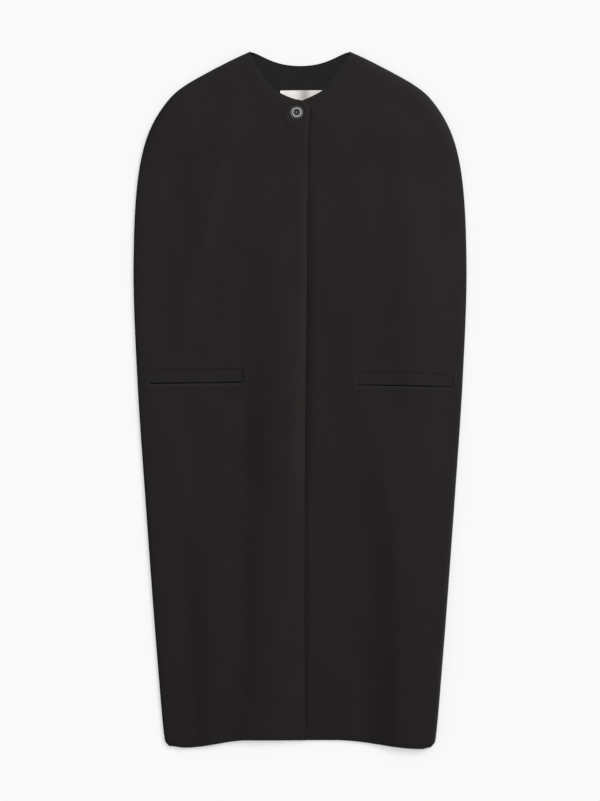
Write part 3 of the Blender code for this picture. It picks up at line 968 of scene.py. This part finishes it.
def brushed_nickel():
    """Nickel plated brass ring, brushed round: grey, with a soft broken gleam."""
    made, tree, shader = new_finish("satin_nickel")
    place = add_node(tree, "TexCoord", {}, {}).outputs["Object"]
    brush = add_node(tree, "TexNoise", {}, {"Vector": place, "Scale": size_mm(0.6), "Detail": 3.0})
    colour = add_node(tree, "Mix", {"data_type": "RGBA"},
                      {0: brush.outputs["Fac"], 6: linear("#8f8e8c"), 7: linear("#a6a5a3")})
    rough = add_node(tree, "MapRange", {},
                     {"Value": brush.outputs["Fac"], "To Min": 0.28, "To Max": 0.45})
    tree.links.new(colour.outputs[2], shader.inputs["Base Color"])
    tree.links.new(rough.outputs[0], shader.inputs["Roughness"])
    shader.inputs["Metallic"].default_value = 1.0
    return made


def twisted_thread(name, dark, light):
    """Twisted polyester thread: darker and lighter by turns, with a slight shine."""
    made, tree, shader = new_finish(name)
    place = add_node(tree, "TexCoord", {}, {}).outputs["Object"]
    twist = add_node(tree, "TexNoise", {}, {"Vector": place, "Scale": size_mm(0.4)})
    colour = add_node(tree, "Mix", {"data_type": "RGBA"},
                      {0: twist.outputs["Fac"], 6: linear(dark), 7: linear(light)})
    tree.links.new(colour.outputs[2], shader.inputs["Base Color"])
    shader.inputs["Roughness"].default_value = 0.6
    return made


def matt_paper():
    """White background paper: even and quite without gloss."""
    made, _, shader = new_finish("matt_white_paper")
    shader.inputs["Base Color"].default_value = (0.9, 0.9, 0.9, 1.0)
    shader.inputs["Roughness"].default_value = 1.0
    shader.inputs["Specular IOR Level"].default_value = 0.0
    return made


WOOL = felted_wool("black_wool_coating", "#211e1e", "#242221")
# the same black wool as the coating, painted a little darker as shade inside the neck
WOOL_PAINTED_SHADE = felted_wool("black_wool_facing_painted_shade", "#1e1c1d", "#21201f")
SATIN = label_satin()
RESIN = polished_resin()
NICKEL = brushed_nickel()
CREAM_THREAD = twisted_thread("cream_twisted_thread", "#c4c1ba", "#d8d6d0")
GREY_THREAD = twisted_thread("grey_twisted_thread", "#8c8986", "#aba8a5")
PAPER = matt_paper()

# Panels
back = cloth("back_cloth", back_points(), WALL, PANEL_EDGE, WOOL)
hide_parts("back_panel")

fronts = {}
grids = {}
for side, under in (("left", ["back_cloth"]), ("right", ["back_cloth", "left_front_cloth"])):
    grids[side] = front_points(side)
    fronts[side] = cloth(side + "_front_cloth", grids[side], WALL, PANEL_EDGE, WOOL, in_slit(side))
    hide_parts(side + "_front")

# Welts
welts = {}
for side in ("right", "left"):
    welt = cloth(side + "_welt_cloth", welt_points(side, grids[side]), WELT_THICK, WELT_EDGE, WOOL)
    welts[side] = welt
    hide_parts(side + "_welt")

# Facing inside the back neck
facing_middle = WALL + LYING_GAP + FACING_THICK / 2.0
facing = cloth("neck_facing_cloth", facing_points(facing_middle), FACING_THICK, FACING_EDGE, WOOL_PAINTED_SHADE)
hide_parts("back_neck_facing")

# Label, a bare ribbon with one soft fold
label_middle = facing_middle + FACING_THICK / 2.0 + LYING_GAP + LABEL_THICK / 2.0
label = cloth("label_ribbon", label_points(label_middle), LABEL_THICK, LABEL_EDGE, SATIN)
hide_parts("label")

# Stitches down the label's two ends, a ball drawn out long and repeated, then lifted with the label's fold
bpy.ops.object.select_all(action="DESELECT")
bpy.ops.mesh.primitive_uv_sphere_add(segments=STITCH_STEPS[0], ring_count=STITCH_STEPS[1], radius=0.5 * MM)
stitches = new_piece("label_stitches")
bpy.ops.object.mode_set(mode="EDIT")
bpy.ops.transform.resize(value=(STITCH_THICK, STITCH_LONG, STITCH_THICK))
bpy.ops.transform.translate(value=((LABEL_LEFT + STITCH_IN) * MM, (LABEL_TOP - STITCH_PITCH / 2.0) * MM,
                                   (label_middle + LABEL_THICK / 2.0 + STITCH_PROUD) * MM))
bpy.ops.object.mode_set(mode="OBJECT")
apart = LABEL_RIGHT - LABEL_LEFT - 2.0 * STITCH_IN
for count, offset in ((int(LABEL_DEEP / STITCH_PITCH), (0.0, -STITCH_PITCH, 0.0)),
                      (2, (apart, LABEL_TILT * apart, 0.0))):
    finish_with(stitches, "ARRAY", count=count, use_relative_offset=False, use_constant_offset=True,
                constant_offset_displace=Vector(offset) * MM)
places = np.zeros(len(stitches.data.vertices) * 3)
stitches.data.vertices.foreach_get("co", places)
places = places.reshape(-1, 3)
places[:, 2] += label_lift(places[:, 0] / MM, places[:, 1] / MM) * MM
stitches.data.vertices.foreach_set("co", places.ravel())
bpy.ops.object.shade_smooth()
stitches.data.materials.append(CREAM_THREAD)
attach(stitches, "root")

# Button, turned from a disc, with four holes
button_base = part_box("button")[0].z / MM
axis = Vector((BUTTON_AT[0] * MM, BUTTON_AT[1] * MM, button_base * MM))
bpy.ops.object.select_all(action="DESELECT")
bpy.ops.mesh.primitive_circle_add(vertices=ROUND_STEPS, radius=BUTTON_PROFILE[0][0] * MM, fill_type="NGON",
                                  location=axis)
button = new_piece("button_disc")
bpy.ops.object.transform_apply(location=True, rotation=False, scale=False)
bpy.ops.object.mode_set(mode="EDIT")
bpy.ops.mesh.select_mode(type="FACE")
bpy.ops.mesh.select_all(action="SELECT")
for (was_wide, was_high), (wide, high) in zip(BUTTON_PROFILE, BUTTON_PROFILE[1:]):
    bpy.ops.mesh.extrude_region_move(TRANSFORM_OT_translate={"value": (0.0, 0.0, (high - was_high) * MM)})
    bpy.ops.transform.resize(value=(wide / was_wide, wide / was_wide, 1.0), center_override=axis)
bpy.ops.mesh.select_all(action="SELECT")
bpy.ops.mesh.normals_make_consistent(inside=False)
bpy.ops.object.mode_set(mode="OBJECT")
for i in range(4):
    turn = pi / 4.0 + i * pi / 2.0
    hole = axis + Vector((cos(turn), sin(turn), 0.0)) * HOLE_REACH * MM
    bpy.ops.object.select_all(action="DESELECT")
    bpy.ops.mesh.primitive_cylinder_add(vertices=HOLE_STEPS, radius=HOLE_RADIUS * MM, depth=DRILL_LONG * MM,
                                        location=hole)
    drill = bpy.context.object
    bpy.context.view_layer.objects.active = button
    finish_with(button, "BOOLEAN", operation="DIFFERENCE", solver="EXACT", object=drill)
    bpy.data.objects.remove(drill, do_unlink=True)
finish_with(button, "BEVEL", width=BUTTON_EDGE * MM, segments=2, limit_method="ANGLE",
            angle_limit=TURNED_ANGLE)
bpy.ops.object.shade_smooth()
button.data.materials.append(RESIN)
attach(button, "root")
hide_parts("button")

# Ring in the button's face, a square wire with rounded edges, turned about the button's axis
ring_low, ring_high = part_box("button_ring")
ring_middle = (ring_low.z + ring_high.z) / 2.0
bpy.ops.object.select_all(action="DESELECT")
bpy.ops.mesh.primitive_circle_add(vertices=4, radius=RING_HALF_THICK * 2.0 ** 0.5 * MM,
                                  rotation=(pi / 2.0, pi / 4.0, 0.0),
                                  location=(axis.x + RING_RADIUS * MM, axis.y, ring_middle))
ring = new_piece("button_inlay_ring")
bpy.ops.object.transform_apply(location=True, rotation=True, scale=False)
bpy.ops.object.mode_set(mode="EDIT")
bpy.ops.mesh.select_all(action="SELECT")
bpy.ops.mesh.spin(steps=ROUND_STEPS, angle=2.0 * pi, center=(axis.x, axis.y, ring_middle),
                  axis=(0.0, 0.0, 1.0))
bpy.ops.mesh.select_all(action="SELECT")
bpy.ops.mesh.remove_doubles(threshold=SAME_POINT * MM)
bpy.ops.mesh.normals_make_consistent(inside=False)
bpy.ops.object.mode_set(mode="OBJECT")
finish_with(ring, "BEVEL", width=RING_EDGE * MM, segments=3, limit_method="ANGLE", angle_limit=CUT_ANGLE)
bpy.ops.object.shade_smooth_by_angle(angle=RING_ANGLE)
ring.data.materials.append(NICKEL)
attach(ring, "root")
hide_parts("button_ring")

# Thread through the holes: two arches, one across the other
arches = []
middle = axis + Vector((0.0, 0.0, THREAD_FROM * MM))
for turn, flat in THREAD_ARCHES:
    along = Vector((cos(turn), sin(turn), 0.0))
    start = middle + along * HOLE_REACH * MM
    bpy.ops.object.select_all(action="DESELECT")
    bpy.ops.mesh.primitive_circle_add(vertices=THREAD_STEPS, radius=THREAD_RADIUS * MM, location=start)
    arch = new_piece("button_thread")
    bpy.ops.object.transform_apply(location=True, rotation=False, scale=False)
    bpy.ops.object.mode_set(mode="EDIT")
    bpy.ops.mesh.select_all(action="SELECT")
    bpy.ops.mesh.spin(steps=ARCH_STEPS, angle=pi, center=middle, axis=(-along.y, along.x, 0.0))
    bpy.ops.mesh.select_all(action="SELECT")
    bpy.ops.transform.resize(value=(1.0, 1.0, flat), center_override=middle)
    bpy.ops.mesh.fill_holes(sides=0)
    bpy.ops.mesh.normals_make_consistent(inside=False)
    bpy.ops.object.mode_set(mode="OBJECT")
    arches.append(arch)
bpy.ops.object.select_all(action="DESELECT")
for arch in arches:
    arch.select_set(True)
bpy.context.view_layer.objects.active = arches[0]
bpy.ops.object.join()
bpy.ops.object.shade_smooth()
arches[0].data.materials.append(GREY_THREAD)
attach(arches[0], "root")

# Floor
bpy.ops.object.select_all(action="DESELECT")
bpy.ops.mesh.primitive_plane_add(size=FLOOR_WIDE, location=(0.0, 0.0, -FLOOR_BELOW * MM))
floor = new_piece("floor")
floor.data.materials.append(PAPER)

# Light: even room light. On the floor, a soft key from the upper right and an overhead light. On the cape,
# a soft disc from the upper left, which draws the edges, and a low side light without shadows, which draws
# the folds. Inside the neck, an overhead light. On the button and its ring, a wide overhead light. On the
# label, a low light along it, which draws its fold.
scene = bpy.context.scene
world = bpy.data.worlds.new("room_light")
scene.world = world
world.use_nodes = True
world.node_tree.nodes["Background"].inputs["Color"].default_value = (1.0, 1.0, 1.0, 1.0)
world.node_tree.nodes["Background"].inputs["Strength"].default_value = ROOM_LIGHT


def lamp(name, kind, place, on_level, lit):
    """A light that gives level white at the middle that share of full white, on the named pieces only."""
    made = bpy.data.lights.new(name, kind)
    place = Vector(place)
    level = on_level * pi * place.length / place.z
    made.energy = level if kind == "SUN" else level * pi * place.length_squared
    held = bpy.data.objects.new(name, made)
    scene.collection.objects.link(held)
    held.location = place
    held.rotation_mode = "QUATERNION"
    held.rotation_quaternion = place.to_track_quat("Z", "Y")
    group = bpy.data.collections.new(name + "_falls_on")
    for piece in lit:
        group.objects.link(piece)
    held.light_linking.receiver_collection = group
    return made


outside = [fronts["right"], fronts["left"], welts["right"], welts["left"]]
ribbon = [label, stitches]
lamp("floor_key", "SUN", FLOOR_KEY_FROM, FLOOR_KEY, [floor]).angle = FLOOR_KEY_SPREAD
lamp("floor_light", "SUN", OVERHEAD_FROM, OVERHEAD, [floor]).angle = OVERHEAD_SPREAD
lamp("neck_light", "SUN", OVERHEAD_FROM, NECK_LIGHT, [facing]).angle = OVERHEAD_SPREAD
lamp("overhead_light", "SUN", BUTTON_LIGHT_FROM, OVERHEAD, [button, ring]).angle = BUTTON_LIGHT_SPREAD
lamp("ribbon_light", "SUN", LABEL_LIGHT_FROM, OVERHEAD, ribbon).use_shadow = False
key_lit = outside + ribbon + [back, button, arches[0]]
cape_key = lamp("cape_key", "AREA", CAPE_KEY_AT, CAPE_KEY, key_lit)
cape_key.shape = "DISK"
cape_key.size = CAPE_KEY_WIDE
softbox = lamp("side_softbox", "AREA", SIDE_LIGHT_AT, SIDE_LIGHT, outside)
softbox.size = SIDE_LIGHT_WIDE
softbox.use_shadow = False

# Camera straight above
camera = bpy.data.cameras.new("camera")
camera.sensor_width = SENSOR
camera.lens = SENSOR * (CAMERA_HEIGHT - SCALE_LEVEL * MM) / (PICTURE_HIGH * MM_PER_PIXEL * MM)
stand = bpy.data.objects.new("camera", camera)
stand.location = (0.0, 0.0, CAMERA_HEIGHT)
scene.collection.objects.link(stand)
scene.camera = stand
scene.view_settings.view_transform = "Standard"
